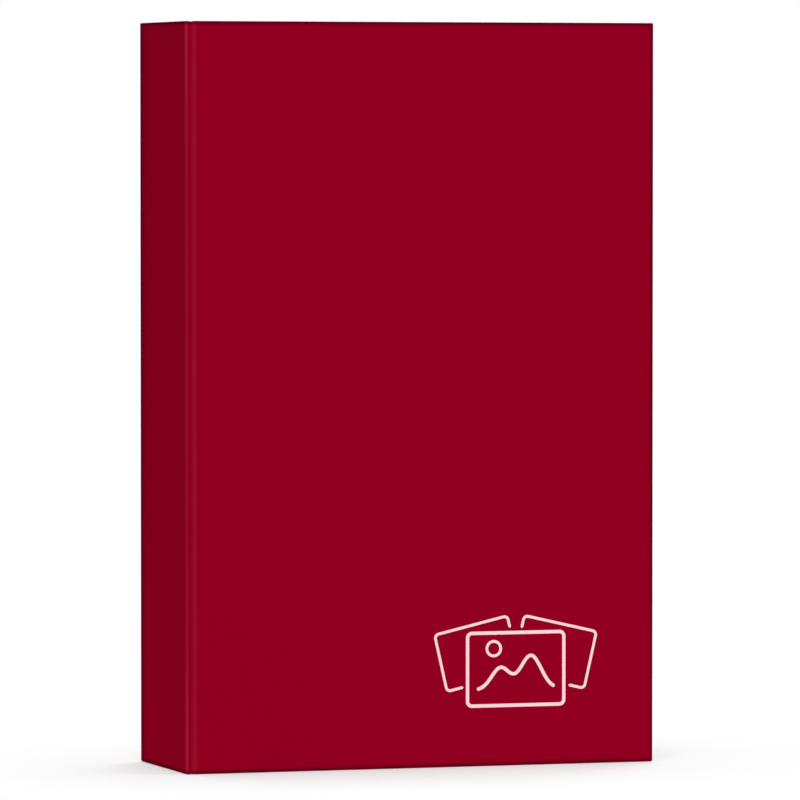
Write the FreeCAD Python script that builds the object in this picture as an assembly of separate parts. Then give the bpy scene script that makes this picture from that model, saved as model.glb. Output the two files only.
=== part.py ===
"""Hardback slip-in photo album, standing closed.

Millimetres. +Z is up, the front cover faces -Y, the spine faces -X, and the origin is at the middle of
the album's foot. The case is three boards in a paper wrap with a creased joint on each side of the spine.
The block is pocket leaves bound by their inner edges, with a spacer between each two.
"""

import FreeCAD, Part
import os

# The closed album
ALBUM_HEIGHT = 255.0
ALBUM_WIDTH = 168.0
ALBUM_THICKNESS = 56.0
LEAF_COUNT = 40

# Case: boards, wrap and papers
BOARD = 2.0
SPINE_BOARD = 0.8
WRAP = 0.25
TURN_IN = 15.0
EDGE_ROUND = 0.5
PASTEDOWN = 0.15
LINING = 0.15
COVER_SQUARE = 3.0
JOINT_GROOVE_WIDTH = 1.55
JOINT_GROOVE_DEPTH = 0.45
LINING_EDGE = 1.2

# Block: pocket leaves, flyleaves and binding
LEAF_PITCH = 1.2
LEAF_CARD = 0.4
POCKET_FILM = 0.12
POCKET_SEAM = 1.0
POCKET_MOUTH = 4.0
FLYLEAF = 0.25
BLOCK_GLUE = 0.5
STUB_WIDTH = 7.0
CREASE_WIDTH = 0.8
CREASE_THICKNESS = 0.2
ENDPAPER_FOLD_GAP = 0.15

# Planes measured in from the outside of the spine (X), from the front cover (Y) and from the foot (Z)
SPINE_FACE = -ALBUM_WIDTH / 2
FORE_EDGE = ALBUM_WIDTH / 2
FRONT_FACE = -ALBUM_THICKNESS / 2
SPINE_BOARD_FACE = SPINE_FACE + WRAP
SPINE_INSIDE = SPINE_BOARD_FACE + SPINE_BOARD
LINING_FACE = SPINE_INSIDE + WRAP
GLUE_FACE = LINING_FACE + LINING
BLOCK_BACK = GLUE_FACE + BLOCK_GLUE
STUB_EDGE = BLOCK_BACK + STUB_WIDTH
LEAF_ROOT = STUB_EDGE + CREASE_WIDTH
LEAF_EDGE = FORE_EDGE - COVER_SQUARE
COVER_ROOT = SPINE_INSIDE + JOINT_GROOVE_WIDTH
BOARD_FACE = FRONT_FACE + WRAP
BOARD_INSIDE = BOARD_FACE + BOARD
TURN_IN_INSIDE = BOARD_INSIDE + WRAP
COVER_INSIDE = TURN_IN_INSIDE + PASTEDOWN
LEAF_FOOT = COVER_SQUARE
LEAF_HEAD = ALBUM_HEIGHT - COVER_SQUARE

# Sheets of the block, counted from the front: a flyleaf, the pocket leaves and a flyleaf
SHEET_COUNT = LEAF_COUNT + 2
LAST_SHEET = SHEET_COUNT - 1


def sheet_middle(index):
    """Y of the middle of a sheet: the sheets are a pitch apart, evenly about Y = 0."""
    return (index - LAST_SHEET / 2) * LEAF_PITCH


def sheet_thickness(index):
    """The outermost two sheets are flyleaves, the others the cards of pocket leaves."""
    return FLYLEAF if index in (0, LAST_SHEET) else LEAF_CARD


BLOCK_FACE = sheet_middle(0) - FLYLEAF / 2


def slab(x, y, z):
    """A box between two planes on each axis, each pair given as (low, high)."""
    corner = FreeCAD.Vector(x[0], y[0], z[0])
    return Part.makeBox(x[1] - x[0], y[1] - y[0], z[1] - z[0], corner)


def sheet(x, middle, thickness, z=(LEAF_FOOT, LEAF_HEAD)):
    """An upright slab that faces Y, from its middle plane and its thickness."""
    return slab(x, (middle - thickness / 2, middle + thickness / 2), z)


def rounded(shape, is_rounded):
    """The shape with an edge rounded where the test holds for the edge's middle."""
    edges = [edge for edge in shape.Edges if is_rounded(edge.CenterOfMass)]
    return shape.makeFillet(EDGE_ROUND, edges)


def to_back(shape):
    """The back cover's twin of a front piece."""
    return shape.mirror(FreeCAD.Vector(0, 0, 0), FreeCAD.Vector(0, 1, 0))


def cover_board():
    return slab(
        (COVER_ROOT, FORE_EDGE - WRAP), (BOARD_FACE, BOARD_INSIDE), (WRAP, ALBUM_HEIGHT - WRAP)
    )


def turn_in_window():
    """The part of the board's inside that the wrap's turned-in edges leave bare."""
    return slab(
        (COVER_ROOT, FORE_EDGE - TURN_IN),
        (BOARD_INSIDE, TURN_IN_INSIDE),
        (TURN_IN, ALBUM_HEIGHT - TURN_IN),
    )


def cover_wrap():
    """The wrap covers the board's face and three rounded edges, and turns in round them."""
    outside = slab((COVER_ROOT, FORE_EDGE), (FRONT_FACE, TURN_IN_INSIDE), (0, ALBUM_HEIGHT))
    outside = rounded(outside, lambda middle: middle.x > COVER_ROOT)
    return outside.cut(cover_board()).cut(turn_in_window())


def cover_pastedown():
    """The endpaper's glued half lies over the turned-in edges and sinks to the board between them."""
    face = slab(
        (COVER_ROOT, LEAF_EDGE), (TURN_IN_INSIDE, COVER_INSIDE), (LEAF_FOOT, LEAF_HEAD)
    )
    return face.fuse(turn_in_window()).removeSplitter()


def spine_board():
    return slab(
        (SPINE_BOARD_FACE, SPINE_INSIDE),
        (FRONT_FACE + WRAP, -FRONT_FACE - WRAP),
        (WRAP, ALBUM_HEIGHT - WRAP),
    )


def spine_strip(x, z):
    """A slab across the inside of the spine, clear of the joints."""
    return slab(x, (FRONT_FACE + LINING_EDGE, -FRONT_FACE - LINING_EDGE), z)


def spine_wrap():
    """The wrap covers the spine board's face and four edges, and turns in at the head and the foot."""
    skin = slab((SPINE_FACE, SPINE_INSIDE), (FRONT_FACE, -FRONT_FACE), (0, ALBUM_HEIGHT))
    skin = rounded(skin, lambda middle: middle.x == SPINE_FACE)
    foot = spine_strip((SPINE_INSIDE, LINING_FACE), (0, TURN_IN))
    head = spine_strip((SPINE_INSIDE, LINING_FACE), (ALBUM_HEIGHT - TURN_IN, ALBUM_HEIGHT))
    return skin.cut(spine_board()).fuse([foot, head]).removeSplitter()


def spine_lining():
    face = spine_strip((LINING_FACE, GLUE_FACE), (LEAF_FOOT, LEAF_HEAD))
    sunk = spine_strip((SPINE_INSIDE, LINING_FACE), (TURN_IN, ALBUM_HEIGHT - TURN_IN))
    return face.fuse(sunk).removeSplitter()


def spine_glue():
    return slab((GLUE_FACE, BLOCK_BACK), (BLOCK_FACE, -BLOCK_FACE), (LEAF_FOOT, LEAF_HEAD))


def hinge_strip():
    """The wrap dips in an arc between the spine's edge and the cover's, one wrap thick."""

    def dip(depth):
        middle = (SPINE_INSIDE + COVER_ROOT) / 2
        return Part.Arc(
            FreeCAD.Vector(SPINE_INSIDE, FRONT_FACE + depth, 0),
            FreeCAD.Vector(middle, FRONT_FACE + depth + JOINT_GROOVE_DEPTH, 0),
            FreeCAD.Vector(COVER_ROOT, FRONT_FACE + depth, 0),
        ).toShape()

    def end(x):
        return Part.makeLine((x, FRONT_FACE, 0), (x, FRONT_FACE + WRAP, 0))

    outline = Part.Wire([dip(0), end(COVER_ROOT), dip(WRAP), end(SPINE_INSIDE)])
    return Part.Face(outline).extrude(FreeCAD.Vector(0, 0, ALBUM_HEIGHT))


def endpaper_hinge():
    """The endpaper leaves the pastedown, folds back beside the spine and is glued along the first stub."""
    height = (LEAF_FOOT, LEAF_HEAD)
    fold = GLUE_FACE + ENDPAPER_FOLD_GAP
    on_cover = slab((fold, COVER_ROOT), (TURN_IN_INSIDE, COVER_INSIDE), height)
    across = slab((fold, fold + PASTEDOWN), (TURN_IN_INSIDE, BLOCK_FACE), height)
    on_block = slab((fold, STUB_EDGE), (BLOCK_FACE - PASTEDOWN, BLOCK_FACE), height)
    return on_cover.fuse([across, on_block]).removeSplitter()


def flyleaf():
    return sheet((LEAF_ROOT, LEAF_EDGE), sheet_middle(0), FLYLEAF)


def pocket_leaf(index):
    """A card with an upper and a lower clear pocket on each side, open towards the spine."""
    middle = sheet_middle(index)
    pocket_middle = (LEAF_FOOT + LEAF_HEAD) / 2
    heights = (
        (LEAF_FOOT, pocket_middle - POCKET_SEAM / 2),
        (pocket_middle + POCKET_SEAM / 2, LEAF_HEAD),
    )
    solids = [sheet((LEAF_ROOT, LEAF_EDGE), middle, LEAF_CARD)]
    for side in (-1, 1):
        film_middle = middle + side * (LEAF_CARD + POCKET_FILM) / 2
        for height in heights:
            solids.append(sheet((LEAF_ROOT + POCKET_MOUTH, LEAF_EDGE), film_middle, POCKET_FILM, height))
    return Part.makeCompound(solids)


def leaf_stubs():
    """The bound edge of each sheet."""
    stubs = [
        sheet((BLOCK_BACK, STUB_EDGE), sheet_middle(i), sheet_thickness(i)) for i in range(SHEET_COUNT)
    ]
    return Part.makeCompound(stubs)


def spacer_guards():
    """Card strips between the stubs, which keep room for the prints."""
    guards = []
    for i in range(LAST_SHEET):
        near = sheet_middle(i) + sheet_thickness(i) / 2
        far = sheet_middle(i + 1) - sheet_thickness(i + 1) / 2
        guards.append(slab((BLOCK_BACK, STUB_EDGE), (near, far), (LEAF_FOOT, LEAF_HEAD)))
    return Part.makeCompound(guards)


def leaf_creases():
    """The thinned line on which each sheet of the front half turns."""
    creases = [
        sheet((STUB_EDGE, LEAF_ROOT), sheet_middle(i), CREASE_THICKNESS) for i in range(SHEET_COUNT // 2)
    ]
    return Part.makeCompound(creases)


def album_nodes():
    nodes = {
        "spine_board": spine_board(),
        "spine_wrap": spine_wrap(),
        "spine_lining": spine_lining(),
        "spine_glue": spine_glue(),
        "leaf_stubs": leaf_stubs(),
        "spacer_guards": spacer_guards(),
    }
    paired = {
        "board": cover_board(),
        "wrap": cover_wrap(),
        "pastedown": cover_pastedown(),
        "hinge_strip": hinge_strip(),
        "endpaper_hinge": endpaper_hinge(),
        "flyleaf": flyleaf(),
        "leaf_creases": leaf_creases(),
    }
    for name, shape in paired.items():
        nodes["front_" + name] = shape
        nodes["back_" + name] = to_back(shape)
    for index in range(1, LEAF_COUNT + 1):
        nodes["pocket_leaf_%02d" % index] = pocket_leaf(index)
    return nodes


os.makedirs("parts", exist_ok=True)
for name, shape in album_nodes().items():
    shape.exportStep("parts/" + name + ".step")
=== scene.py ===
"""Looks of a hardback slip-in photo album: its paper case, endpapers, pocket leaves, stamp and stage.

Metres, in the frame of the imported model: +Z up, the front cover faces -Y and the spine faces -X.
"""

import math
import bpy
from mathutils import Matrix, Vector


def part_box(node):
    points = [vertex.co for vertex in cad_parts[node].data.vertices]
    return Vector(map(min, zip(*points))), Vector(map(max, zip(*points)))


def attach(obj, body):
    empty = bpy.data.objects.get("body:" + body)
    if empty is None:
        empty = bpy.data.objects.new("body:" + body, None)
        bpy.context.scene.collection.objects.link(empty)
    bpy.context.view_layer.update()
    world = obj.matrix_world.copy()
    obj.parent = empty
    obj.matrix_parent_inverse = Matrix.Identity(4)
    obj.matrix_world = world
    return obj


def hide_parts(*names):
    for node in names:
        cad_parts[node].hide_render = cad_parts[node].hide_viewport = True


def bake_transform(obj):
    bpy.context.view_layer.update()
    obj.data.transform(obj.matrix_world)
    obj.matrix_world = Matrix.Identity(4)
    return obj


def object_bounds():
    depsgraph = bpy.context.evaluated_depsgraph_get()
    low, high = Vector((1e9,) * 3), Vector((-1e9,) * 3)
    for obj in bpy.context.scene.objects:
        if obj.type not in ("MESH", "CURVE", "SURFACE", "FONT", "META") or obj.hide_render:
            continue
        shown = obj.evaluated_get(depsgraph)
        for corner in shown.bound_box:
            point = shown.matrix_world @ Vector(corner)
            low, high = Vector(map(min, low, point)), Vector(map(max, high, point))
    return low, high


bl_info = {
    "name": "Slip-in Photo Album",
    "version": (1, 0, 0),
    "blender": (4, 5, 0),
    "location": "3D View > Sidebar > Album",
    "description": "Dresses a standing photo album in paper, card and clear film",
    "category": "Add Mesh",
}

import bmesh
import bpy
import numpy as np
from bpy.props import FloatProperty, FloatVectorProperty, PointerProperty
from mathutils import Vector

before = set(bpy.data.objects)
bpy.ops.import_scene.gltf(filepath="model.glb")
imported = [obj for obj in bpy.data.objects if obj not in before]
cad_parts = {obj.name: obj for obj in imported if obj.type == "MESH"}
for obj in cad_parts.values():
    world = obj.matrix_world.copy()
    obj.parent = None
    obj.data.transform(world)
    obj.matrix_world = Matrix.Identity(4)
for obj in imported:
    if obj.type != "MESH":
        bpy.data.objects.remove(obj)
CAD_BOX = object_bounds()

MM = 0.001
SIDES = ("front", "back")
# Even steps of angle over half of a round edge, as shares of its radius
ROUND_STOPS = np.tan(np.linspace(0, math.pi / 4, 5))
WELD_DISTANCE = 1e-6
SHARP_ANGLE = math.radians(40)
CARD_HALF = 0.2 * MM

# Where the lamps stand, and the length of their sides
KEY_PLACE = (-1.42, -3.5, 2.4)
KEY_SIDE = 3.0
FILL_PLACE = (2.2, 2.8, 2.8)
FILL_SIDE = 2.5

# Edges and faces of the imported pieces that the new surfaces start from
FRONT_FACE = CAD_BOX[0].y
SPINE_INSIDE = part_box("spine_board")[1].x
COVER_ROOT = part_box("front_wrap")[0].x
STUB_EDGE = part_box("leaf_stubs")[1].x
LEAF_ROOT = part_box("pocket_leaf_01")[0].x
LEAF_NODES = sorted(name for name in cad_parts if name.startswith("pocket_leaf_"))


def linear(code):
    """An sRGB hex code as linear red, green and blue."""
    srgb = np.array([int(code[i : i + 2], 16) for i in (0, 2, 4)]) / 255
    return tuple(np.where(srgb <= 0.04045, srgb / 12.92, ((srgb + 0.055) / 1.055) ** 2.4))


def smooth(t):
    """Rises from 0 at 0 to 1 at 1, level at both ends."""
    t = np.clip(t, 0, 1)
    return t * t * (3 - 2 * t)


def colour(name, description, code):
    """A colour property that starts at an sRGB hex code."""
    return FloatVectorProperty(
        name=name, description=description, subtype="COLOR", size=3, min=0, max=1, default=linear(code)
    )


def length(name, description, millimetres):
    """A length property that starts at a number of millimetres."""
    return FloatProperty(
        name=name, description=description, unit="LENGTH", min=0, precision=6, default=millimetres * MM
    )


class AlbumColours(bpy.types.PropertyGroup):
    """Colours of the album's papers, boards and stamp."""

    wrap: colour("Wrap", "Printed colour of the matt wrap", "910021")
    # Pale wear along the joint's edges, which also paints the highlight along them
    rubbed: colour("Rubbed wrap", "Wrap where the joint's edges are rubbed pale", "A8263F")
    # Painted shade along the rounded edges of the boards and the back of the spine, mixed in by the rim
    # attribute
    fold: colour("Folded wrap", "Wrap where it turns over the edge of a board", "4A0010")
    endpaper: colour("Endpaper", "Pastedowns and flyleaves", "F0ECE3")
    card: colour("Leaf card", "Card of the pocket leaves", "F3F1EA")
    guard: colour("Guards", "Card strips between the leaves", "E6E1D6")
    board: colour("Greyboard", "Boards inside the case", "8E877C")
    kraft: colour("Spine lining", "Paper inside the spine", "A98A63")
    glue: colour("Binding glue", "Hot-melt at the back of the block", "DCCB9A")
    foil: colour("Stamp", "Pale foil of the stamped design", "FFDCDD")


class AlbumShapes(bpy.types.PropertyGroup):
    """Sizes of the shapes that are added to the frame."""

    edge_round: length("Edge rounding", "Radius of the wrapped board edges", 0.5)
    turn_in: length("Turn-in", "Width of the wrap's edges glued inside the covers", 15.0)
    turn_in_rise: length("Turn-in rise", "How far the turned-in wrap stands above the board", 0.22)
    face_inset: length("Face inset", "How far the covers' faces lie inside the stamp's top", 0.06)
    groove_depth: length("Groove depth", "Depth of the joint beside the spine", 0.42)
    leaf_bend: length("Leaf bend", "Length over which a leaf bends as it turns", 6.0)
    film: length("Film", "Thickness of the pocket film", 0.09)
    film_rise: length("Film rise", "How far an empty pocket's film stands off its card", 0.15)
    weld: length("Weld", "Width of the welded edge of a pocket", 2.2)
    stamp_stroke: length("Stamp stroke", "Width of the stamp's main lines", 1.25)


class AlbumStage(bpy.types.PropertyGroup):
    """Camera and light."""

    lens: FloatProperty(name="Lens", description="Focal length in millimetres", default=330.6, min=1)
    camera_place: FloatVectorProperty(
        name="Camera", description="Where the camera stands", subtype="TRANSLATION", unit="LENGTH",
        default=(-0.7904, -2.4086, 0.2190),
    )
    camera_aim: FloatVectorProperty(
        name="Aim", description="Point at the middle of the picture", subtype="TRANSLATION", unit="LENGTH",
        default=(0.0012, 0.0, 0.1250),
    )
    ambient: FloatProperty(name="Ambient", description="Light from all round", default=0.44, min=0)
    key: FloatProperty(name="Key", description="Light from the front", default=0.55, min=0)
    fill: FloatProperty(name="Fill", description="Light from behind", default=0.32, min=0)


# Meshes


def add_piece(name, parts, material, body=None):
    """One closed mesh object from (points, faces) arrays: doubles merged, faces turned outwards."""
    mesh = bpy.data.meshes.new(name)
    points = np.concatenate([part[0] for part in parts])
    starts = np.cumsum([0] + [len(part[0]) for part in parts[:-1]])
    faces = np.concatenate([part[1] + start for part, start in zip(parts, starts)])
    mesh.from_pydata(points.tolist(), [], faces.tolist())
    shaper = bmesh.new()
    shaper.from_mesh(mesh)
    bmesh.ops.remove_doubles(shaper, verts=shaper.verts, dist=WELD_DISTANCE)
    bmesh.ops.recalc_face_normals(shaper, faces=shaper.faces)
    shaper.to_mesh(mesh)
    shaper.free()
    mesh.shade_smooth()
    mesh.set_sharp_from_angle(angle=SHARP_ANGLE)
    mesh.materials.append(material)
    piece = bpy.data.objects.new(name, mesh)
    bpy.context.scene.collection.objects.link(piece)
    if body:
        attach(piece, body)
    return piece


def paint(piece, attribute, rule):
    """Stores on each point the value that the rule gives for its x, y and z."""
    points = np.empty(len(piece.data.vertices) * 3)
    piece.data.vertices.foreach_get("co", points)
    values = rule(*points.reshape(-1, 3).T)
    layer = piece.data.attributes.new(attribute, "FLOAT", "POINT")
    layer.data.foreach_set("value", values.astype(np.float32))


def quads(rows, columns):
    """Corner numbers of the faces of a grid of points."""
    first = np.arange(rows - 1)[:, None] * columns + np.arange(columns - 1)
    return np.stack([first, first + columns, first + columns + 1, first + 1], -1).reshape(-1, 4)


def sheet_between(front, back):
    """Closes two grids of points that face each other into one sheet, with a strip along each edge."""
    rows, columns = front.shape[:2]
    number = np.arange(rows * columns).reshape(rows, columns)
    rim = np.concatenate([number[:-1, 0], number[-1, :-1], number[:0:-1, -1], number[0, :0:-1]])
    after = np.roll(rim, -1)
    shift = rows * columns
    side = np.stack([rim, after, after + shift, rim + shift], -1)
    face = quads(rows, columns)
    points = np.concatenate([front.reshape(-1, 3), back.reshape(-1, 3)])
    return points, np.concatenate([face, face + shift, side])


def carried_up(profile, heights):
    """A profile of (x, y) points repeated at each height: a grid of points with one row for each height."""
    rows = np.broadcast_to(profile, (len(heights), *profile.shape))
    up = np.broadcast_to(heights[:, None, None], (len(heights), len(profile), 1))
    return np.concatenate([rows, up], -1)


def offset_profile(profile, distance):
    """The profile moved sideways, at each point along the normal of the line through its neighbours."""
    along = np.gradient(profile, axis=0)
    along /= np.linalg.norm(along, axis=1, keepdims=True)
    return profile + distance * np.stack([-along[:, 1], along[:, 0]], -1)


def axis_stops(low, high, radius, count, extra=()):
    """Grid lines along one axis: close within a radius of each end, where the edge is round, then even."""
    near = radius * (1 - ROUND_STOPS[::-1])
    inner = np.linspace(low + radius, high - radius, count)
    return np.unique(np.round(np.concatenate([low + near, inner, high - near, extra]), 9))


def rounded_slab(stops, radius):
    """A box with round edges, as six grids.

    Each point of the plain box is pulled to the nearest point of a box one radius smaller on every side,
    and pushed out from there by the radius.
    """
    ends = np.array([(axis[0], axis[-1]) for axis in stops])
    inner_low, inner_high = ends[:, 0] + radius, ends[:, 1] - radius
    parts = []
    for axis in range(3):
        across, along = (axis + 1) % 3, (axis + 2) % 3
        for end in ends[axis]:
            grid = np.empty((len(stops[across]), len(stops[along]), 3))
            grid[..., axis] = end
            grid[..., across] = stops[across][:, None]
            grid[..., along] = stops[along]
            core = np.clip(grid, inner_low, inner_high)
            push = grid - core
            grid = core + radius * push / np.linalg.norm(push, axis=-1, keepdims=True)
            parts.append((grid.reshape(-1, 3), quads(*grid.shape[:2])))
    return parts


# Materials


def add_node(tree, kind, inputs=None, **settings):
    """Adds a node with its settings and links.

    An input is a value, an output, or a node, whose first output in use is linked.
    """
    node = tree.nodes.new(kind)
    for name, value in settings.items():
        setattr(node, name, value)
    for socket, source in (inputs or {}).items():
        if isinstance(source, bpy.types.Node):
            source = next(output for output in source.outputs if output.enabled)
        if isinstance(source, bpy.types.NodeSocket):
            tree.links.new(source, node.inputs[socket])
        else:
            node.inputs[socket].default_value = source
    return node


def new_tree(name):
    """A new material, with an empty node tree and the piece's own coordinates."""
    material = bpy.data.materials.new(name)
    material.use_nodes = True
    tree = material.node_tree
    tree.nodes.clear()
    return material, tree, add_node(tree, "ShaderNodeTexCoord").outputs["Object"]


def rgba(rgb, share=1.0):
    """A colour at a share of its light, with the alpha that a socket asks for."""
    return (*(share * part for part in rgb), 1)


def laminated_paper(name, colours):
    """Printed paper under a matt film, pressed on board: flat deep colour, no shine, a soft fine grain.

    Its grain of 0.3 mm is drawn at 0.7 mm, so that it shows. Paper shows through where the joints' edges
    are rubbed, and the same pale colour paints the highlight along them. Painted shade darkens the print
    towards the rounded edges of the boards.
    """
    grain_size = 0.7 * MM
    grain_depth = 0.012 * MM
    cloud_size = 35 * MM
    streak_size = 6 * MM
    material, tree, place = new_tree(name)
    grain = add_node(tree, "ShaderNodeTexNoise", {"Vector": place, "Scale": 1 / grain_size, "Detail": 3})
    cloud = add_node(tree, "ShaderNodeTexNoise", {"Vector": place, "Scale": 1 / cloud_size})
    ink = {"Factor": cloud, "A": rgba(colours.wrap, 0.985), "B": rgba(colours.wrap, 1.015)}
    speck = {"Factor": grain, "A": rgba(colours.wrap, 0.94), "B": rgba(colours.wrap, 1.06)}
    ink = add_node(tree, "ShaderNodeMix", ink, data_type="RGBA")
    speck = add_node(tree, "ShaderNodeMix", speck, data_type="RGBA")
    printed = add_node(tree, "ShaderNodeMix", {"Factor": 0.5, "A": ink, "B": speck}, data_type="RGBA")

    streaks = add_node(tree, "ShaderNodeMapping", {"Vector": place, "Scale": (1, 1, 0.3)})
    streaks = add_node(tree, "ShaderNodeTexNoise", {"Vector": streaks, "Scale": 1 / streak_size})
    patchy = add_node(tree, "ShaderNodeMapRange", {"Value": streaks, "To Min": 0.55, "To Max": 1.2})
    # Pale wear of the joint's edges, which also paints the highlight along them
    rub = add_node(tree, "ShaderNodeAttribute", attribute_name="rub").outputs["Fac"]
    rub = add_node(tree, "ShaderNodeMath", {0: rub, 1: patchy}, operation="MULTIPLY", use_clamp=True)
    worn_and_highlit = {"Factor": rub, "A": printed, "B": rgba(colours.rubbed)}
    worn_and_highlit = add_node(tree, "ShaderNodeMix", worn_and_highlit, data_type="RGBA")

    # Painted shade: the rim attribute darkens the wrap towards the rounded edges of the boards and the back
    # of the spine
    rim = add_node(tree, "ShaderNodeAttribute", attribute_name="rim").outputs["Fac"]
    rim = add_node(tree, "ShaderNodeMapRange", {"Value": rim, "To Max": 0.85})
    edge_shaded = {"Factor": rim, "A": worn_and_highlit, "B": rgba(colours.fold)}
    edge_shaded = add_node(tree, "ShaderNodeMix", edge_shaded, data_type="RGBA")

    relief = {"Height": grain, "Strength": 1, "Distance": grain_depth}
    surface = {
        "Base Color": edge_shaded,
        "Roughness": add_node(tree, "ShaderNodeMapRange", {"Value": grain, "To Min": 0.58, "To Max": 0.72}),
        "Normal": add_node(tree, "ShaderNodeBump", relief),
        "Specular IOR Level": 0.0,
    }
    surface = add_node(tree, "ShaderNodeBsdfPrincipled", surface)
    add_node(tree, "ShaderNodeOutputMaterial", {"Surface": surface})
    return material


def plain_paper(name, rgb, fibre_size, roughness, depth):
    """Uncoated paper or board, calendered: dull, with faint clouds and fibres that catch the light.

    The fibres run upwards, three times as long as they are wide, and are drawn coarse enough to show.
    """
    cloud_size = 12 * MM
    material, tree, place = new_tree(name)
    along = add_node(tree, "ShaderNodeMapping", {"Vector": place, "Scale": (1, 1, 0.35)})
    fibre = add_node(tree, "ShaderNodeTexNoise", {"Vector": along, "Scale": 1 / fibre_size, "Detail": 4})
    cloud = add_node(tree, "ShaderNodeTexNoise", {"Vector": place, "Scale": 1 / cloud_size})
    formed = {"Factor": cloud, "A": rgba(rgb, 0.96), "B": rgba(rgb)}
    flecked = {"Factor": fibre, "A": rgba(rgb, 0.93), "B": rgba(rgb)}
    formed = add_node(tree, "ShaderNodeMix", formed, data_type="RGBA")
    flecked = add_node(tree, "ShaderNodeMix", flecked, data_type="RGBA")
    base = add_node(tree, "ShaderNodeMix", {"Factor": 0.45, "A": formed, "B": flecked}, data_type="RGBA")
    dull = {"Value": fibre, "To Min": roughness - 0.06, "To Max": roughness + 0.06}
    surface = {
        "Base Color": base,
        "Roughness": add_node(tree, "ShaderNodeMapRange", dull),
        "Normal": add_node(tree, "ShaderNodeBump", {"Height": fibre, "Strength": 1, "Distance": depth}),
        "Specular IOR Level": 0.2,
    }
    surface = add_node(tree, "ShaderNodeBsdfPrincipled", surface)
    add_node(tree, "ShaderNodeOutputMaterial", {"Surface": surface})
    return material


def binding_glue(name, colours):
    """Hot-melt glue, rolled on warm: waxy cream, half shiny, with slow waves."""
    wave_size = 3 * MM
    material, tree, place = new_tree(name)
    wave = add_node(tree, "ShaderNodeTexNoise", {"Vector": place, "Scale": 1 / wave_size})
    tint = {"Factor": wave, "A": rgba(colours.glue, 0.9), "B": rgba(colours.glue)}
    surface = {
        "Base Color": add_node(tree, "ShaderNodeMix", tint, data_type="RGBA"),
        "Roughness": add_node(tree, "ShaderNodeMapRange", {"Value": wave, "To Min": 0.3, "To Max": 0.5}),
        "Normal": add_node(tree, "ShaderNodeBump", {"Height": wave, "Strength": 1, "Distance": 0.1 * MM}),
        "Subsurface Weight": 0.1,
    }
    surface = add_node(tree, "ShaderNodeBsdfPrincipled", surface)
    add_node(tree, "ShaderNodeOutputMaterial", {"Surface": surface})
    return material


def clear_film(name):
    """Cast polypropylene film, heat-welded: clear, glossy and softly rippled, with frosted, ribbed welds.

    Only its outer faces reflect.
    """
    ripple_size = 18 * MM
    rib_size = 0.8 * MM
    material, tree, place = new_tree(name)
    weld = add_node(tree, "ShaderNodeAttribute", attribute_name="weld").outputs["Fac"]
    tall = add_node(tree, "ShaderNodeMapping", {"Vector": place, "Scale": (1, 1, 0.5)})
    ripple = add_node(tree, "ShaderNodeTexNoise", {"Vector": tall, "Scale": 1 / ripple_size})
    rib = add_node(tree, "ShaderNodeTexNoise", {"Vector": place, "Scale": 1 / rib_size})
    height = add_node(tree, "ShaderNodeMix", {"Factor": weld, "A": ripple, "B": rib}, data_type="FLOAT")
    normal = add_node(tree, "ShaderNodeBump", {"Height": height, "Strength": 1, "Distance": 0.12 * MM})
    rough = add_node(tree, "ShaderNodeMapRange", {"Value": weld, "To Min": 0.07, "To Max": 0.4})
    shine = add_node(tree, "ShaderNodeBsdfGlossy", {"Roughness": rough, "Normal": normal})
    clear = add_node(tree, "ShaderNodeBsdfTransparent", {"Color": rgba(linear("FDFEFF"))})
    fresnel = add_node(tree, "ShaderNodeFresnel", {"IOR": 1.49, "Normal": normal})
    inside = add_node(tree, "ShaderNodeNewGeometry").outputs["Backfacing"]
    outside = add_node(tree, "ShaderNodeMath", {0: 1.0, 1: inside}, operation="SUBTRACT")
    mirror = add_node(tree, "ShaderNodeMath", {0: fresnel, 1: outside}, operation="MULTIPLY")
    glossy = add_node(tree, "ShaderNodeMixShader", {0: mirror, 1: clear, 2: shine})
    frost = add_node(tree, "ShaderNodeBsdfDiffuse", {"Color": rgba(linear("F7F7F8")), "Normal": normal})
    haze = add_node(tree, "ShaderNodeMapRange", {"Value": weld, "To Min": 0.03, "To Max": 0.75})
    film = add_node(tree, "ShaderNodeMixShader", {0: haze, 1: glossy, 2: frost})
    add_node(tree, "ShaderNodeOutputMaterial", {"Surface": film})
    return material


def stamped_foil(name, colours):
    """Pale pigment foil, pressed hot on to the wrap: even and silky, a little broken by the paper's grain.

    The breaks of 0.2 mm are drawn at 0.6 mm, so that they show.
    """
    grain_size = 0.6 * MM
    material, tree, place = new_tree(name)
    grain = add_node(tree, "ShaderNodeTexNoise", {"Vector": place, "Scale": 1 / grain_size, "Detail": 3})
    tint = {"Factor": grain, "A": rgba(colours.foil, 0.93), "B": rgba(colours.foil)}
    surface = {
        "Base Color": add_node(tree, "ShaderNodeMix", tint, data_type="RGBA"),
        "Roughness": add_node(tree, "ShaderNodeMapRange", {"Value": grain, "To Min": 0.38, "To Max": 0.55}),
        "Normal": add_node(tree, "ShaderNodeBump", {"Height": grain, "Strength": 1, "Distance": 0.01 * MM}),
        "Specular IOR Level": 0.2,
    }
    surface = add_node(tree, "ShaderNodeBsdfPrincipled", surface)
    add_node(tree, "ShaderNodeOutputMaterial", {"Surface": surface})
    return material


def stock(name, maker, *colours, **settings):
    """The named material, made the first time that a piece asks for it."""
    return bpy.data.materials.get(name) or maker(name, *colours, **settings)


def wrap_paper(context):
    """The wrap of the covers, the spine and the joints."""
    return stock("matt_laminated_paper", laminated_paper, context.scene.album_colours)


def endpaper(context):
    """The paper of the pastedowns, folds and flyleaves."""
    rgb = context.scene.album_colours.endpaper
    return stock("offset_endpaper", plain_paper, rgb, fibre_size=0.9 * MM, roughness=0.8, depth=0.02 * MM)


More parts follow.
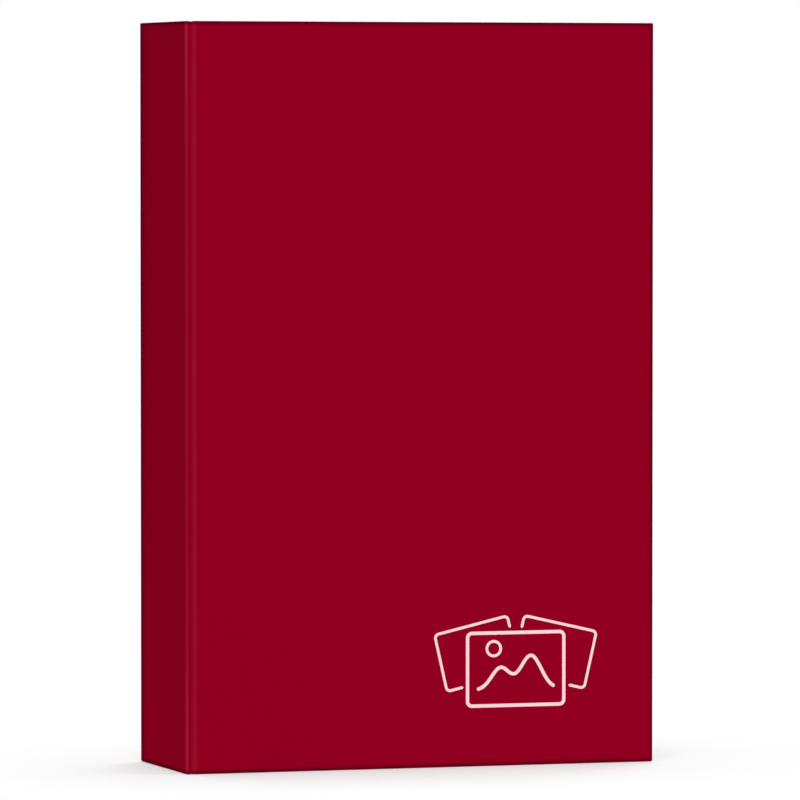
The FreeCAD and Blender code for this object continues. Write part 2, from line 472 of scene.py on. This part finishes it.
def leaf_card(context):
    """The card of the pocket leaves and their stubs."""
    rgb = context.scene.album_colours.card
    return stock("white_leaf_card", plain_paper, rgb, fibre_size=0.7 * MM, roughness=0.7, depth=0.015 * MM)


# Case


def from_outside(side, depth):
    """Y at a depth below the outer face of the front or the back cover."""
    return FRONT_FACE + depth if side == "front" else -FRONT_FACE - depth


def turn_in_sink(shapes, box, x, z):
    """How far the inside of a cover sinks past the turned-in wrap: nothing near three edges, level beyond.

    Towards the joint it rises again over 4 mm, so that the endpaper runs on level into its fold.
    """
    step_width = 0.8 * MM
    level = 1 * MM
    slope = 4 * MM
    low, high = box
    border = np.minimum(high.x - x, np.minimum(z - low.z, high.z - z))
    step = smooth((border - shapes.turn_in) / step_width + 0.5)
    return shapes.turn_in_rise * step * smooth((x - low.x - level) / slope)


def border_stops(low, high):
    """Grid lines close to both ends of an axis, where the wrap's colour changes."""
    near = np.array([0.8, 1.1, 1.5, 2.0, 3.0, 4.5, 6.0]) * MM
    return np.concatenate([low + near, high - near])


def painted_edge_shade(z, low, high):
    """Painted shade: 1 at the head and the foot, falling to 0 at a short way from them."""
    reach = 2 * MM
    return 1 - smooth(np.minimum(z - low, high - z) / reach)


def turn_in_stops(shapes, ends):
    """Grid lines across the step at the turn-in's edge, for the given ends of an axis."""
    across = np.array([-0.5, -0.25, 0, 0.25, 0.5]) * MM
    return np.concatenate([end + side * (shapes.turn_in + across) for end, side in ends])


class ALBUM_OT_covers(bpy.types.Operator):
    """Wraps the front and the back board: round edges, turned-in paper inside"""

    bl_idname = "album.covers"
    bl_label = "Covers"

    def execute(self, context):
        shapes = context.scene.album_shapes
        rub_highlight_reach = 1.3 * MM
        rub_highlight_fade = 0.8 * MM
        fore_edge_reach = 2.4 * MM
        for side in SIDES:
            box = low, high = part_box(side + "_wrap")
            radius = shapes.edge_round
            inside = from_outside(side, high.y - low.y)
            faces_y = sorted((inside, from_outside(side, shapes.face_inset)))
            extra_x = [border_stops(low.x, high.x), turn_in_stops(shapes, [(high.x, -1)])]
            extra_z = [border_stops(low.z, high.z), turn_in_stops(shapes, [(low.z, 1), (high.z, -1)])]
            stops = (
                axis_stops(low.x, high.x, radius, 22, np.concatenate(extra_x)),
                axis_stops(*faces_y, radius, 3),
                axis_stops(low.z, high.z, radius, 30, np.concatenate(extra_z)),
            )
            outwards = math.copysign(1, from_outside(side, 0))
            parts = []
            for points, faces in rounded_slab(stops, radius):
                on_inside = np.abs(points[:, 1] - inside) < WELD_DISTANCE
                sink = turn_in_sink(shapes, box, points[:, 0], points[:, 2])
                points[:, 1] += np.where(on_inside, outwards * sink, 0)
                parts.append((points, faces))
            piece = add_piece(side + "_cover_wrap", parts, wrap_paper(context), side + "_cover")

            def rubbed(x, y, z):
                """Pale wear and painted highlight, a little, close to the joint."""
                return 0.25 * smooth((low.x + rub_highlight_reach - x) / rub_highlight_fade)

            def rim(x, y, z):
                """Painted shade, close to the head, the foot and the fore-edge."""
                fore_edge = 1 - smooth((high.x - x) / fore_edge_reach)
                return np.maximum(painted_edge_shade(z, low.z, high.z), 0.8 * fore_edge)

            paint(piece, "rub", rubbed)
            paint(piece, "rim", rim)
            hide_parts(side + "_wrap")
        return {"FINISHED"}


class ALBUM_OT_spine(bpy.types.Operator):
    """Wraps the spine board, with full round edges beside the joints"""

    bl_idname = "album.spine"
    bl_label = "Spine"

    def execute(self, context):
        radius = context.scene.album_shapes.edge_round
        ridge_depth, ridge_width = 0.9 * MM, 3.2 * MM
        end_reach = 60 * MM
        back_reach = 8 * MM
        low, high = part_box("spine_wrap")
        stops = (
            axis_stops(low.x, high.x, radius, 3),
            axis_stops(low.y, high.y, radius, 12, border_stops(low.y, high.y)),
            axis_stops(low.z, high.z, radius, 30, border_stops(low.z, high.z)),
        )
        piece = add_piece("spine_panel_wrap", rounded_slab(stops, radius), wrap_paper(context), "spine")

        def rubbed(x, y, z):
            """Pale wear and painted highlight: most on the ridge beside the front joint, and more towards
            the head and the foot.
            """
            ridge = 1 - smooth(np.hypot((x - low.x) / ridge_depth, (y - low.y) / ridge_width))
            ends = 1 - smooth(np.minimum(z - low.z, high.z - z) / end_reach)
            return ridge * (0.3 + 0.45 * ends)

        def rim(x, y, z):
            """Painted shade, close to the head and the foot, and wider at the back."""
            back = 1 - smooth((high.y - y) / back_reach)
            return np.maximum(painted_edge_shade(z, low.z, high.z), 0.7 * back)

        paint(piece, "rub", rubbed)
        paint(piece, "rim", rim)
        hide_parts("spine_wrap")
        return {"FINISHED"}


class ALBUM_OT_joints(bpy.types.Operator):
    """Lays the creased strip of wrap in the groove on each side of the spine"""

    bl_idname = "album.joints"
    bl_label = "Joints"

    def execute(self, context):
        shapes = context.scene.album_shapes
        valley = SPINE_INSIDE + 0.2 * MM
        lip = COVER_ROOT + 0.6 * MM
        overlap = 0.3 * MM
        thickness = 0.2 * MM
        dip_length = 0.1 * MM
        dip_slope = 0.2
        across = np.linspace(SPINE_INSIDE - overlap, lip + overlap, 36)
        depth = shapes.face_inset + shapes.groove_depth * (1 - smooth((across - valley) / (lip - valley)))
        # Its end dips under the face of the cover
        depth += np.maximum(across - lip + dip_length, 0) * dip_slope
        low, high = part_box("front_hinge_strip")
        inset = 0.15 * MM
        heights = axis_stops(low.z + inset, high.z - inset, inset, 40, border_stops(low.z, high.z))
        for side in SIDES:
            outer = np.stack([across, from_outside(side, depth)], -1)
            inner = np.stack([across, from_outside(side, depth + thickness)], -1)
            part = sheet_between(carried_up(outer, heights), carried_up(inner, heights))
            piece = add_piece(side + "_joint", [part], wrap_paper(context))

            def rubbed(x, y, z):
                """Pale wear and painted highlight, paler from the bottom of the groove up to its lip."""
                return 0.3 * smooth((x - valley) / (lip - valley))

            def rim(x, y, z):
                """Painted shade, close to the head and the foot."""
                return painted_edge_shade(z, low.z, high.z)

            paint(piece, "rub", rubbed)
            paint(piece, "rim", rim)
            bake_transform(piece)
            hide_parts(side + "_hinge_strip")
        return {"FINISHED"}


class ALBUM_OT_endpapers(bpy.types.Operator):
    """Glues in the pastedowns, folds the endpapers at the joints and hangs the flyleaves"""

    bl_idname = "album.endpapers"
    bl_label = "Endpapers"

    def pastedown(self, context, side):
        """A sheet that lies on the inside of a cover and sinks where the turned-in wrap ends."""
        shapes = context.scene.album_shapes
        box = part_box(side + "_wrap")
        low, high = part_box(side + "_pastedown")
        sheet = 0.35 * (high.y - low.y)
        depth = abs(FRONT_FACE) - min(abs(low.y), abs(high.y))
        step_x = turn_in_stops(shapes, [(box[1].x, -1)])
        step_z = turn_in_stops(shapes, [(box[0].z, 1), (box[1].z, -1)])
        x = np.unique(np.concatenate([np.linspace(low.x, high.x, 20), border_stops(low.x, high.x), step_x]))
        z = np.unique(np.concatenate([np.linspace(low.z, high.z, 28), step_z]))
        z, x = np.meshgrid(z, x, indexing="ij")
        sink = turn_in_sink(shapes, box, x, z)
        face = np.stack([x, from_outside(side, depth - sink), z], -1)
        glued = np.stack([x, from_outside(side, depth - sink - sheet), z], -1)
        part = sheet_between(face, glued)
        piece = add_piece(side + "_pastedown_paper", [part], endpaper(context), side + "_cover")
        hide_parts(side + "_pastedown")

    def fold(self, context, side):
        """Runs from the pastedown to the spine, turns in a half circle and runs back along the block."""
        low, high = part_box("front_endpaper_hinge")
        inset = 0.075 * MM
        lap = 0.4 * MM
        half = 0.07 * MM
        on_cover = low.y + inset - FRONT_FACE
        on_block = high.y - inset - FRONT_FACE
        radius = (on_block - on_cover) / 2
        turn = np.linspace(-math.pi / 2, math.pi / 2, 33)
        bend_x = low.x + radius - radius * np.cos(turn)
        bend_depth = (on_cover + on_block) / 2 + radius * np.sin(turn)
        start = np.linspace(COVER_ROOT + lap, low.x + radius, 6)[:-1]
        finish = np.linspace(low.x + radius, STUB_EDGE, 10)[1:]
        x = np.concatenate([start, bend_x, finish])
        depth = np.concatenate([np.full(len(start), on_cover), bend_depth, np.full(len(finish), on_block)])
        profile = np.stack([x, from_outside(side, depth)], -1)
        heights = np.linspace(low.z, high.z, 30)
        part = sheet_between(
            carried_up(offset_profile(profile, half), heights),
            carried_up(offset_profile(profile, -half), heights),
        )
        piece = add_piece(side + "_endpaper_fold", [part], endpaper(context))
        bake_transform(piece)
        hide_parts(side + "_endpaper_hinge")

    def flyleaf(self, context, side):
        """A flat sheet from the stub to the fore-edge, close-ruled where it bends."""
        low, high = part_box(side + "_flyleaf")
        bend = context.scene.album_shapes.leaf_bend
        x, z = leaf_stops(low, high, bend)
        z, x = np.meshgrid(z, x, indexing="ij")
        part = sheet_between(np.stack([x, 0 * x + low.y, z], -1), np.stack([x, 0 * x + high.y, z], -1))
        piece = add_piece(side + "_flyleaf_paper", [part], endpaper(context))
        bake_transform(piece)
        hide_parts(side + "_flyleaf", side + "_leaf_creases")

    def execute(self, context):
        for side in SIDES:
            self.pastedown(context, side)
            self.fold(context, side)
            self.flyleaf(context, side)
        return {"FINISHED"}


# Block


def leaf_stops(low, high, bend):
    """Grid lines of a leaf: along X close over the bend and wide beyond it, and along Z even."""
    bent = np.linspace(STUB_EDGE, STUB_EDGE + bend, 20)
    x = np.concatenate([bent, np.linspace(bent[-1], high.x, 16)[1:]])
    return x, np.linspace(low.z, high.z, 14)


def film_gap(shapes, x, z, edge, bottom, top):
    """How far film stands off its card: hardly at the welds, a low pillow between, open at the mouth."""
    seal = 0.01 * MM
    slope = 7 * MM
    from_weld = np.minimum(edge - x, np.minimum(z - bottom, top - z)) - shapes.weld
    return seal + shapes.film_rise * smooth(from_weld / slope)


class ALBUM_OT_leaves(bpy.types.Operator):
    """Makes the pocket leaves: a card each, with an upper and a lower film pocket on both sides"""

    bl_idname = "album.leaves"
    bl_label = "Pocket leaves"

    def card(self, context, node, body):
        """A flat card in the middle of its leaf's space, close-ruled where it bends."""
        low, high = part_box(node)
        middle = (low.y + high.y) / 2
        x, z = leaf_stops(low, high, context.scene.album_shapes.leaf_bend)
        z, x = np.meshgrid(z, x, indexing="ij")
        part = sheet_between(
            np.stack([x, 0 * x + middle - CARD_HALF, z], -1),
            np.stack([x, 0 * x + middle + CARD_HALF, z], -1),
        )
        piece = add_piece("card_" + body, [part], leaf_card(context))
        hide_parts(node)
        return piece

    def films(self, context, node, body):
        """Four thin sheets, two on each face of the card, that stand off it by the film's gap."""
        low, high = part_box(node)
        shapes = context.scene.album_shapes
        middle_y, middle_z = (low.y + high.y) / 2, (low.z + high.z) / 2
        mouth = LEAF_ROOT + 4 * MM
        seam = 0.5 * MM
        weld_fade = 0.8 * MM
        side_room, end_room = 12 * MM, 14 * MM
        near = np.array([0, 1.1, 2.2, 3.5, 5, 7, 9.2]) * MM
        parts = []
        for way in (-1, 1):
            for bottom, top in ((low.z, middle_z - seam), (middle_z + seam, high.z)):
                x = np.concatenate([np.linspace(mouth, high.x - side_room, 16), high.x - near[::-1]])
                flat = np.linspace(bottom + end_room, top - end_room, 9)
                z = np.concatenate([bottom + near, flat, top - near[::-1]])
                z, x = np.meshgrid(z, x, indexing="ij")
                gap = film_gap(shapes, x, z, high.x, bottom, top)
                under = middle_y + way * (CARD_HALF + gap)
                over = under + way * shapes.film
                parts.append(sheet_between(np.stack([x, over, z], -1), np.stack([x, under, z], -1)))
        piece = add_piece("films_" + body, parts, stock("clear_polypropylene", clear_film))

        def welded(x, y, z):
            """1 within a weld's width of the head, the foot, the fore-edge and the middle seam."""
            ends = np.minimum(np.minimum(z - low.z, high.z - z), np.abs(z - middle_z))
            return 1 - smooth((np.minimum(ends, high.x - x) - shapes.weld) / weld_fade)

        paint(piece, "weld", welded)
        # Light passes the film on its way to and from the cards, so that gaps between leaves stay pale
        piece.visible_diffuse = False
        piece.visible_shadow = False
        return piece

    def execute(self, context):
        for node in LEAF_NODES:
            body = node.replace("pocket_", "")
            for piece in (self.card(context, node, body), self.films(context, node, body)):
                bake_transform(piece)
        return {"FINISHED"}


class ALBUM_OT_binding(bpy.types.Operator):
    """Gives the boards, stubs, guards, glue and lining of the frame their papers"""

    bl_idname = "album.binding"
    bl_label = "Binding"

    def execute(self, context):
        colours = context.scene.album_colours
        coarse = {"fibre_size": 1.6 * MM, "roughness": 0.9, "depth": 0.05 * MM}
        pressed = {"fibre_size": 0.9 * MM, "roughness": 0.8, "depth": 0.03 * MM}
        smoothed = {"fibre_size": 1.2 * MM, "roughness": 0.75, "depth": 0.02 * MM}
        grey = stock("greyboard", plain_paper, colours.board, **coarse)
        finishes = {
            "front_board": grey,
            "back_board": grey,
            "spine_board": grey,
            "leaf_stubs": leaf_card(context),
            "spacer_guards": stock("guard_card", plain_paper, colours.guard, **pressed),
            "spine_glue": stock("hot_melt_glue", binding_glue, colours),
            "spine_lining": stock("kraft_lining", plain_paper, colours.kraft, **smoothed),
        }
        for node, material in finishes.items():
            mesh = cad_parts[node].data
            mesh.materials.clear()
            mesh.materials.append(material)
        return {"FINISHED"}


# Stamp


def round_corners(width, height, radius, steps=9):
    """A rectangle with round corners about the origin: four quarter circles in turn."""
    turn = np.linspace(0, math.pi / 2, steps) + np.arange(4)[:, None] * math.pi / 2
    ways = np.array([(1, 1), (-1, 1), (-1, -1), (1, -1)])
    centres = ways * (np.array([width, height]) / 2 - radius)
    return (centres[:, None] + radius * np.stack([np.cos(turn), np.sin(turn)], -1)).reshape(-1, 2)


def turned(path, degrees, centre):
    """A path turned about the origin and then moved."""
    c, s = math.cos(math.radians(degrees)), math.sin(math.radians(degrees))
    return path @ np.array([(c, s), (-s, c)]) + np.array(centre)


def evenly(path, step, closed):
    """Points at even steps along a path of straight runs."""
    if closed:
        path = np.concatenate([path, path[:1]])
    run = np.concatenate([[0], np.cumsum(np.linalg.norm(np.diff(path, axis=0), axis=1))])
    count = max(int(run[-1] / step), 8)
    at = np.linspace(0, run[-1], count + 1)
    even = np.stack([np.interp(at, run, path[:, k]) for k in (0, 1)], -1)
    return even[:-1] if closed else even


class ALBUM_OT_stamp(bpy.types.Operator):
    """Stamps three fanned prints, the front one with hills and a sun, low on the front cover"""

    bl_idname = "album.stamp"
    bl_label = "Stamp"

    place = Vector((33.9 * MM, 35.7 * MM))
    foot_depth = 0.08 * MM

    def stroke(self, path, width, closed):
        """A low ribbon along a path: flat on top, bevelled at its sides, its open ends half circles.

        Its foot lies a little below the cover's face.
        """
        along = np.roll(path, -1, 0) - np.roll(path, 1, 0) if closed else np.gradient(path, axis=0)
        along /= np.linalg.norm(along, axis=1, keepdims=True)
        across = np.stack([-along[:, 1], along[:, 0]], -1)
        half = np.full(len(path), width / 2)
        if not closed:
            run = np.concatenate([[0], np.cumsum(np.linalg.norm(np.diff(path, axis=0), axis=1))])
            near = np.clip(1 - np.minimum(run, run[-1] - run) / (width / 2), 0, 0.999)
            half = half * np.sqrt(1 - near**2)
        reach = np.array([-1, -0.9, 0.9, 1])
        depth = self.foot_depth * np.array([1, 0, 0, 1])
        flat = path[:, None] + across[:, None] * (half[:, None] * reach)[..., None]
        y = np.broadcast_to(FRONT_FACE + depth, flat.shape[:2])
        grid = np.stack([self.place.x + flat[..., 0], y, self.place.y + flat[..., 1]], -1)
        if closed:
            grid = np.concatenate([grid, grid[:1]])
        rows, columns = grid.shape[:2]
        number = np.arange(rows * columns).reshape(rows, columns)
        under = np.stack([number[:-1, -1], number[1:, -1], number[1:, 0], number[:-1, 0]], -1)
        faces = [quads(rows, columns), under]
        if not closed:
            faces.append(number[[0, -1]])
        return grid.reshape(-1, 3), np.concatenate(faces)

    def behind(self, path, front, gap):
        """The stretch of a closed path that a rectangle in front of it leaves in sight."""
        hidden = np.all(np.abs(path - front[0]) < np.array(front[1]) / 2 + gap, axis=1)
        first = np.flatnonzero(hidden & ~np.roll(hidden, -1))[0] + 1
        path, hidden = np.roll(path, -first, 0), np.roll(hidden, -first)
        return path[: np.argmax(hidden)]

    def execute(self, context):
        wide = context.scene.album_shapes.stamp_stroke
        fine = 0.8 * wide
        step = 0.35 * MM
        gap = 1.5 * MM
        front_place, front_size, front_round = np.array((0, -2.5 * MM)), (35 * MM, 25 * MM), 1.6 * MM
        back_size, back_round, fan_angle = (27 * MM, 20 * MM), 1.4 * MM, 13
        sun_place, sun_radius = np.array((-8 * MM, 4.6 * MM)), 2.5 * MM
        front_path = evenly(round_corners(*front_size, front_round) + front_place, step, True)
        strokes = [(front_path, wide, True)]
        for way in (-1, 1):
            centre = (14 * way * MM, 3 * MM)
            back_path = turned(round_corners(*back_size, back_round), -fan_angle * way, centre)
            seen = self.behind(evenly(back_path, step, True), (front_place, front_size), gap)
            strokes.append((seen, fine, False))
        # Two bell-shaped hills on level ground, in millimetres: the middle, height and width of each
        x = np.linspace(-14.2, 14.2, 90)
        outline = np.full(len(x), -9.5)
        for middle, height, width in ((-5.5, 7.5, 4.6), (5.5, 11.5, 5.2)):
            outline += height * np.exp(-(((x - middle) / width) ** 2))
        strokes.append((evenly(np.stack([x, outline], -1) * MM, step, False), wide, False))
        turn = np.linspace(0, 2 * math.pi, 48, endpoint=False)
        sun = sun_radius * np.stack([np.cos(turn), np.sin(turn)], -1) + sun_place
        strokes.append((sun, fine, True))
        parts = [self.stroke(*stroke) for stroke in strokes]
        foil = stock("pale_pigment_foil", stamped_foil, context.scene.album_colours)
        add_piece("cover_stamp", parts, foil, "front_cover")
        return {"FINISHED"}


# Stage


class ALBUM_OT_stage(bpy.types.Operator):
    """Lays a white floor, sets soft light and stands the camera where the photograph was taken"""

    bl_idname = "album.stage"
    bl_label = "Stage"

    def in_sight(self, tree):
        """1 on rays from the camera, off gloss and through glass, and 0 on those that gather light."""
        path = add_node(tree, "ShaderNodeLightPath").outputs
        sight = path["Is Camera Ray"]
        for ray in ("Is Glossy Ray", "Is Transmission Ray"):
            sight = add_node(tree, "ShaderNodeMath", {0: sight, 1: path[ray]}, operation="MAXIMUM")
        return sight

    def floor(self):
        """White paper, clear from below. In sight, it has the album's shadow on it and is white beyond.

        The shadow fades where the sky is open within its reach, so it goes with the covers and leaves. The
        light that the floor throws back has a glow added, which fades with distance from the middle.
        """
        shadow_reach = 90 * MM
        glow_start, glow_end = 30 * MM, 270 * MM
        drop = 0.1 * MM
        edge = 6.0
        material, tree, place = new_tree("white_floor")
        white = rgba(linear("FFFFFF"))
        below = add_node(tree, "ShaderNodeNewGeometry").outputs["Backfacing"]
        sky = add_node(tree, "ShaderNodeAmbientOcclusion", {"Distance": shadow_reach}, samples=4)
        fade = {"Value": sky.outputs["AO"], "From Min": 0.5, "From Max": 0.92}
        fade = add_node(tree, "ShaderNodeMapRange", fade)
        away = add_node(tree, "ShaderNodeVectorMath", {0: place}, operation="LENGTH").outputs["Value"]
        near = {"Value": away, "From Min": glow_start, "From Max": glow_end, "To Min": 0.25, "To Max": 0.0}
        near = add_node(tree, "ShaderNodeMapRange", near, interpolation_type="SMOOTHSTEP")
        paper = add_node(tree, "ShaderNodeBsdfDiffuse", {"Color": rgba(linear("F3F3F3"))})
        lift = add_node(tree, "ShaderNodeEmission", {"Color": white, "Strength": 0.16})
        glow = add_node(tree, "ShaderNodeEmission", {"Color": white, "Strength": near})
        behind = add_node(tree, "ShaderNodeEmission", {"Color": white, "Strength": 1.0})
        lit = add_node(tree, "ShaderNodeAddShader", {0: paper, 1: lift})
        bounce = add_node(tree, "ShaderNodeAddShader", {0: paper, 1: glow})
        seen = add_node(tree, "ShaderNodeMixShader", {0: fade, 1: lit, 2: behind})
        shown = add_node(tree, "ShaderNodeMixShader", {0: self.in_sight(tree), 1: bounce, 2: seen})
        clear = add_node(tree, "ShaderNodeBsdfTransparent")
        surface = add_node(tree, "ShaderNodeMixShader", {0: below, 1: shown, 2: clear})
        add_node(tree, "ShaderNodeOutputMaterial", {"Surface": surface})
        corner = np.linspace(-edge, edge, 5)
        y, x = np.meshgrid(corner, corner, indexing="ij")
        points = np.stack([x, y, 0 * x - drop], -1).reshape(-1, 3)
        mesh = bpy.data.meshes.new("floor")
        mesh.from_pydata(points.tolist(), [], quads(5, 5)[:, ::-1].tolist())
        mesh.materials.append(material)
        floor = bpy.data.objects.new("floor", mesh)
        bpy.context.scene.collection.objects.link(floor)

    def world(self, context, stage):
        """White in sight, and otherwise a soft even light from all round."""
        world = bpy.data.worlds.new("soft_room")
        world.use_nodes = True
        tree = world.node_tree
        tree.nodes.clear()
        strength = {"Value": self.in_sight(tree), "To Min": stage.ambient, "To Max": 1.0}
        strength = add_node(tree, "ShaderNodeMapRange", strength)
        sky = {"Color": rgba(linear("FFFFFF")), "Strength": strength}
        sky = add_node(tree, "ShaderNodeBackground", sky)
        add_node(tree, "ShaderNodeOutputWorld", {"Surface": sky})
        context.scene.world = world

    def lamp(self, name, place, strength, side):
        """A square soft light aimed at the album, which lights a facing white card to the given level."""
        data = bpy.data.lights.new(name, "AREA")
        data.shape = "SQUARE"
        data.size = side
        aim = Vector((0, 0, CAD_BOX[1].z / 2))
        reach = (aim - Vector(place)).length
        data.energy = strength * math.pi**2 * reach**2
        lamp = bpy.data.objects.new(name, data)
        lamp.location = place
        lamp.rotation_euler = (aim - Vector(place)).to_track_quat("-Z", "Y").to_euler()
        bpy.context.scene.collection.objects.link(lamp)

    def camera(self, context, stage):
        """Stands at the camera's place and looks at its aim."""
        data = bpy.data.cameras.new("photo_camera")
        data.lens = stage.lens
        data.sensor_width = 36.0
        data.clip_end = 50.0
        camera = bpy.data.objects.new("photo_camera", data)
        camera.location = stage.camera_place
        ahead = Vector(stage.camera_aim) - Vector(stage.camera_place)
        camera.rotation_euler = ahead.to_track_quat("-Z", "Y").to_euler()
        context.scene.collection.objects.link(camera)
        context.scene.camera = camera

    def execute(self, context):
        stage = context.scene.album_stage
        context.scene.view_settings.view_transform = "Standard"
        self.floor()
        self.world(context, stage)
        self.lamp("key_light", KEY_PLACE, stage.key, KEY_SIDE)
        self.lamp("fill_light", FILL_PLACE, stage.fill, FILL_SIDE)
        self.camera(context, stage)
        return {"FINISHED"}


class ALBUM_PT_panel(bpy.types.Panel):
    """Sidebar panel with the album's colours, shapes and steps"""

    bl_idname = "ALBUM_PT_panel"
    bl_label = "Photo album"
    bl_space_type = "VIEW_3D"
    bl_region_type = "UI"
    bl_category = "Album"

    def draw(self, context):
        for step in STEPS:
            self.layout.operator(step.bl_idname)
        for name in SETTINGS:
            group = getattr(context.scene, name)
            for prop in group.bl_rna.properties:
                if prop.identifier not in ("rna_type", "name"):
                    self.layout.prop(group, prop.identifier)


STEPS = (
    ALBUM_OT_covers,
    ALBUM_OT_spine,
    ALBUM_OT_joints,
    ALBUM_OT_endpapers,
    ALBUM_OT_leaves,
    ALBUM_OT_binding,
    ALBUM_OT_stamp,
    ALBUM_OT_stage,
)
SETTINGS = {"album_colours": AlbumColours, "album_shapes": AlbumShapes, "album_stage": AlbumStage}


def register():
    """Adds the settings, the operators and the panel to Blender."""
    for group in SETTINGS.values():
        bpy.utils.register_class(group)
    for kind in (*STEPS, ALBUM_PT_panel):
        bpy.utils.register_class(kind)
    for name, group in SETTINGS.items():
        setattr(bpy.types.Scene, name, PointerProperty(type=group))


def unregister():
    """Takes the settings, the operators and the panel away again."""
    for name in SETTINGS:
        delattr(bpy.types.Scene, name)
    for kind in (ALBUM_PT_panel, *reversed(STEPS), *SETTINGS.values()):
        bpy.utils.unregister_class(kind)


def main():
    """Builds the album and its stage."""
    register()
    for step in STEPS:
        getattr(bpy.ops.album, step.bl_idname.split(".")[1])()


if __name__ == "__main__":
    main()
